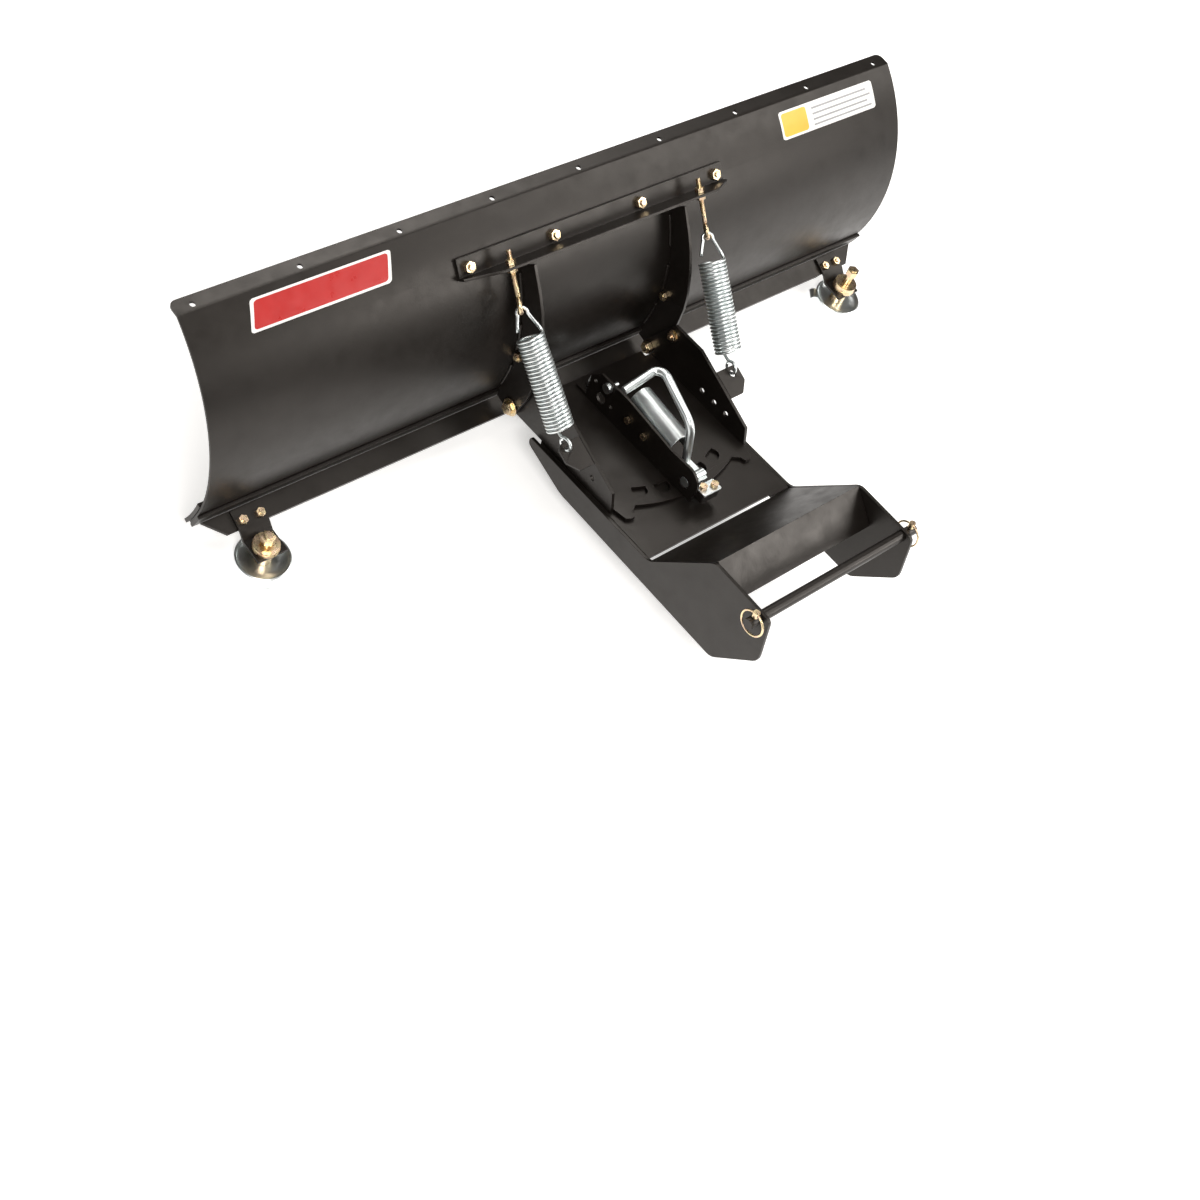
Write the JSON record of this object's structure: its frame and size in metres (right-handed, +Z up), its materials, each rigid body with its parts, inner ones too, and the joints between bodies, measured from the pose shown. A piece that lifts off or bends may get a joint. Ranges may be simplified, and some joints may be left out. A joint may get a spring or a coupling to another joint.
{
  "type": "atv plow blade",
  "caption": "Curved snow plow blade on a sprung trip pivot, with an angle-setting swivel plate, hand latch, skid shoes and a pinned push frame.",
  "frame": {"origin": "middle of the footprint, on the ground under the skid dishes", "axes": "+X along the blade to the driver's left, +Y to the hitch, +Z up; the blade works towards -Y"},
  "size_m": [1.273, 0.6862, 0.347],
  "materials": {
    "black_powder_coat": "satin black powder coat",
    "bright_zinc": "bright zinc plate",
    "yellow_zinc": "yellow chromate zinc plate on steel"
  },
  "bodies": {
    "push_frame": {"deck_plate": "black_powder_coat", "frame_side_left": "black_powder_coat", "frame_side_right": "black_powder_coat", "ramp_plate": "black_powder_coat", "king_bolt": "bright_zinc", "latch_bracket": "black_powder_coat", "latch_cover": "bright_zinc", "latch_spring": "bright_zinc", "latch_spring_bolt": "bright_zinc", "latch_block": "black_powder_coat", "latch_clamp": "bright_zinc", "cover_bolt_front": "yellow_zinc", "cover_bolt_rear": "yellow_zinc", "clamp_bolt_left": "yellow_zinc", "clamp_bolt_right": "yellow_zinc"},
    "latch": {"latch_lever": "bright_zinc", "latch_tongue": "bright_zinc"},
    "swivel": {"swivel_plate": "black_powder_coat", "swivel_wall_left": "black_powder_coat", "swivel_wall_right": "black_powder_coat", "spring_ear_left": "black_powder_coat", "spring_ear_right": "black_powder_coat", "pivot_bolt_left": "yellow_zinc", "pivot_bolt_right": "yellow_zinc"},
    "blade": {"moldboard": "black_powder_coat", "wear_bar": "black_powder_coat", "backing_bar": "black_powder_coat", "bottom_angle": "black_powder_coat", "spring_bracket": "black_powder_coat", "rib_left": "black_powder_coat", "rib_right": "black_powder_coat", "rib_bolt_left": "yellow_zinc", "rib_bolt_right": "yellow_zinc", "eye_bolt_left": "yellow_zinc", "eye_bolt_right": "yellow_zinc", "bracket_bolt_inner_left": "yellow_zinc", "bracket_bolt_inner_right": "yellow_zinc", "bracket_bolt_outer_left": "yellow_zinc", "bracket_bolt_outer_right": "yellow_zinc", "shoe_bracket_left": "black_powder_coat", "shoe_bracket_right": "black_powder_coat", "shoe_bolt_inner_left": "yellow_zinc", "shoe_bolt_inner_right": "yellow_zinc", "shoe_bolt_outer_left": "yellow_zinc", "shoe_bolt_outer_right": "yellow_zinc", "shoe_spacer_left": "yellow_zinc", "shoe_spacer_right": "yellow_zinc"},
    "hitch_pin": {"hitch_pin": "black_powder_coat", "lynch_pin_left": "yellow_zinc", "lynch_pin_right": "yellow_zinc"},
    "shoe_left": {"shoe_dish_left": "bright_zinc", "shoe_stem_left": "yellow_zinc"},
    "lynch_ring_left": {"lynch_ring_left": "yellow_zinc"},
    "spring_left": {"spring_left": "bright_zinc"},
    "spring_hook_left": {"spring_hook_left": "bright_zinc"},
    "shoe_right": {"shoe_dish_right": "bright_zinc", "shoe_stem_right": "yellow_zinc"},
    "lynch_ring_right": {"lynch_ring_right": "yellow_zinc"},
    "spring_right": {"spring_right": "bright_zinc"},
    "spring_hook_right": {"spring_hook_right": "bright_zinc"}
  },
  "joints": [
    {"name": "blade_angle", "type": "hinge", "parent": "push_frame", "child": "swivel", "pos_m": [0, -0.15355, 0.06424], "axis": [0, -0.1219, 0.9925], "range_deg": [-21, 21]},
    {"name": "blade_trip", "type": "hinge", "parent": "swivel", "child": "blade", "pos_m": [0, -0.178, 0.069], "axis": [1, 0, 0], "range_deg": [0, 30], "stiffness_Nm_per_rad": 50, "springref_deg": -40.11},
    {"name": "latch_lift", "type": "hinge", "parent": "push_frame", "child": "latch", "pos_m": [0, 0.06114, 0.11276], "axis": [-1, 0, 0], "range_deg": [0, 25], "stiffness_Nm_per_rad": 1.5, "springref_deg": -17.19},
    {"name": "hitch_pin_turn", "type": "hinge", "parent": "push_frame", "child": "hitch_pin", "pos_m": [0, 0.3109, 0.20388], "axis": [1, 0, 0], "continuous": true},
    {"name": "shoe_turn_left", "type": "hinge", "parent": "blade", "child": "shoe_left", "pos_m": [0.5645, -0.153, 0], "axis": [0, 0, 1], "continuous": true},
    {"name": "ring_swing_left", "type": "hinge", "parent": "hitch_pin", "child": "lynch_ring_left", "pos_m": [0.1535, 0.30907, 0.21877], "axis": [0, 0.9925, 0.1219], "range_deg": [-100, 0]},
    {"name": "spring_swing_left", "type": "hinge", "parent": "swivel", "child": "spring_left", "pos_m": [0.16, -0.04911, 0.13512], "axis": [1, 0, 0], "range_deg": [0, 21.5]},
    {"name": "spring_stretch_left", "type": "slide", "parent": "spring_left", "child": "spring_hook_left", "axis": [0, -0.7477, 0.664], "range_m": [0, 0.067]},
    {"name": "shoe_turn_right", "type": "hinge", "parent": "blade", "child": "shoe_right", "pos_m": [-0.5645, -0.153, 0], "axis": [0, 0, 1], "continuous": true},
    {"name": "ring_swing_right", "type": "hinge", "parent": "hitch_pin", "child": "lynch_ring_right", "pos_m": [-0.1535, 0.30907, 0.21877], "axis": [0, 0.9925, 0.1219], "range_deg": [0, 100]},
    {"name": "spring_swing_right", "type": "hinge", "parent": "swivel", "child": "spring_right", "pos_m": [-0.16, -0.04911, 0.13512], "axis": [1, 0, 0], "range_deg": [0, 21.5]},
    {"name": "spring_stretch_right", "type": "slide", "parent": "spring_right", "child": "spring_hook_right", "axis": [0, -0.7477, 0.664], "range_m": [0, 0.067]}
  ],
  "couplings": [
    {"joint": "spring_swing_left", "follows": "blade_trip", "ratio": 0.6937},
    {"joint": "spring_stretch_left", "follows": "blade_trip", "m_per_rad": 0.1249},
    {"joint": "spring_swing_right", "follows": "blade_trip", "ratio": 0.6937},
    {"joint": "spring_stretch_right", "follows": "blade_trip", "m_per_rad": 0.1249}
  ]
}
